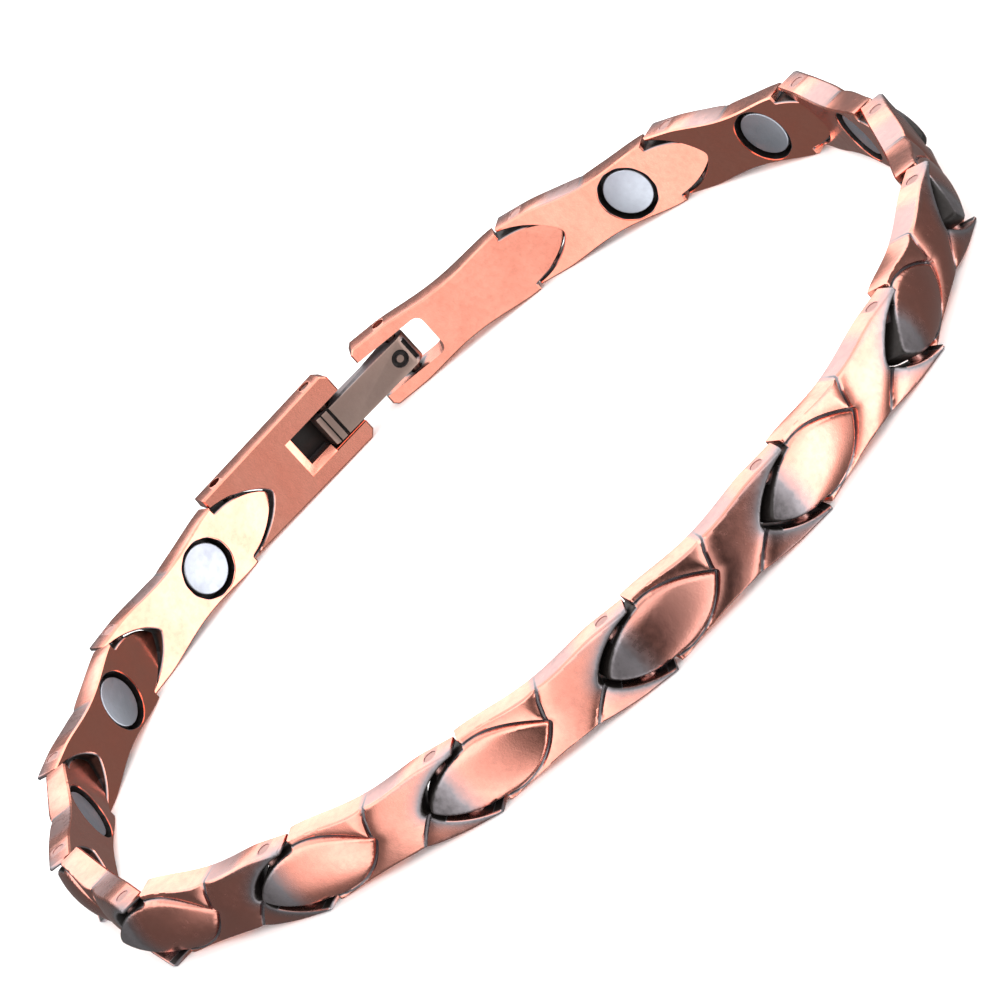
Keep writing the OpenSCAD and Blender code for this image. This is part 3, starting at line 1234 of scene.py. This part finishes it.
bpy.ops.mesh.primitive_plane_add(size=studio["floorSize"], location=(0, 0, -studio["floorDrop"]))
floor = bpy.context.object
floor.name = "paleFloor"
paper = bpy.data.materials.new("palePaper")
paper.use_nodes = True
paperShader = paper.node_tree.nodes["Principled BSDF"]
paperShader.inputs["Base Color"].default_value = (*[studio["paper"]] * 3, 1)
paperShader.inputs["Roughness"].default_value = studio["paperRoughness"]
floor.data.materials.append(paper)
floor.visible_glossy = False
floor.visible_shadow = False

topBox = bpy.data.lights.new("topBox", "AREA")
topBox.shape = "SQUARE"
topBox.size = studio["topSize"]
topBox.energy = studio["topPower"]
topLamp = newObject("topBox", topBox)
topLamp.location = studio["topPlace"]
topLamp.rotation_euler = (-topLamp.location).to_track_quat("-Z", "Y").to_euler()


def surroundings():
    # soft light by compass direction, as from cards set round the band; 0.5 is the camera's side
    world = bpy.data.worlds.new("studioWorld")
    world.use_nodes = True
    tree = world.node_tree
    join = tree.links.new
    where = tree.nodes.new("ShaderNodeTexCoord")
    parts = tree.nodes.new("ShaderNodeSeparateXYZ")
    join(where.outputs["Generated"], parts.inputs[0])

    def maths(operation, a, b):
        node = tree.nodes.new("ShaderNodeMath")
        node.operation = operation
        join(a, node.inputs[0])
        if isinstance(b, float):
            node.inputs[1].default_value = b
        else:
            join(b, node.inputs[1])
        return node.outputs[0]

    back = maths("MULTIPLY", parts.outputs["Y"], -1.0)
    compass = maths("ARCTAN2", parts.outputs["X"], back)
    share = mapRange(tree, compass, (-math.pi, math.pi))
    ramp = tree.nodes.new("ShaderNodeValToRGB")
    ramp.color_ramp.interpolation = "EASE"
    marks = ramp.color_ramp.elements
    marks.remove(marks[1])
    for k, (angle, level) in enumerate(studio["cards"]):
        at = 0.5 + angle / 360
        mark = marks.new(at) if k else marks[0]
        mark.position = at
        mark.color = (*[level / studio["cardTop"]] * 3, 1)
    join(share.outputs["Result"], ramp.inputs["Fac"])

    # above the cards comes a bright sky, dimmer straight overhead
    skyLevels = (studio["sky"] / studio["cardTop"], studio["zenith"] / studio["cardTop"])
    overhead = mapRange(tree, parts.outputs["Z"], studio["skyRise"])
    overhead.interpolation_type = "SMOOTHSTEP"
    dimming = mapRange(tree, parts.outputs["Z"], studio["zenithRise"], skyLevels)
    mix = tree.nodes.new("ShaderNodeMix")
    mix.data_type = "RGBA"
    cards, sky = [s for s in mix.inputs if s.type == "RGBA"]
    join(overhead.outputs["Result"], mix.inputs["Factor"])
    join(ramp.outputs["Color"], cards)
    join(dimming.outputs["Result"], sky)
    shade = tree.nodes["Background"]
    join([s for s in mix.outputs if s.type == "RGBA"][0], shade.inputs["Color"])
    shade.inputs["Strength"].default_value = studio["cardTop"]
    return world


bpy.context.scene.world = surroundings()
bpy.context.scene.view_settings.view_transform = "Standard"

shot = {
    "elevation": 21.9,
    "roll": -42.2,
    "distance": 0.38,
    "lens": 231.6,
    "sensor": 36,
    "clipStart": 0.01,
    "target": (0.000635, 0.004958, 0.000219),
}
cameraData = bpy.data.cameras.new("photoCamera")
cameraData.lens = shot["lens"]
cameraData.sensor_width = shot["sensor"]
cameraData.clip_start = shot["clipStart"]
camera = newObject("photoCamera", cameraData)
rise = math.radians(shot["elevation"])
away = Vector((0, -math.cos(rise), math.sin(rise))) * shot["distance"]
camera.matrix_world = (
    Matrix.Translation(Vector(shot["target"]) + away)
    @ Matrix.Rotation(math.pi / 2 - rise, 4, "X")
    @ Matrix.Rotation(math.radians(shot["roll"]), 4, "Z")
)
bpy.context.scene.camera = camera
print("studio set")
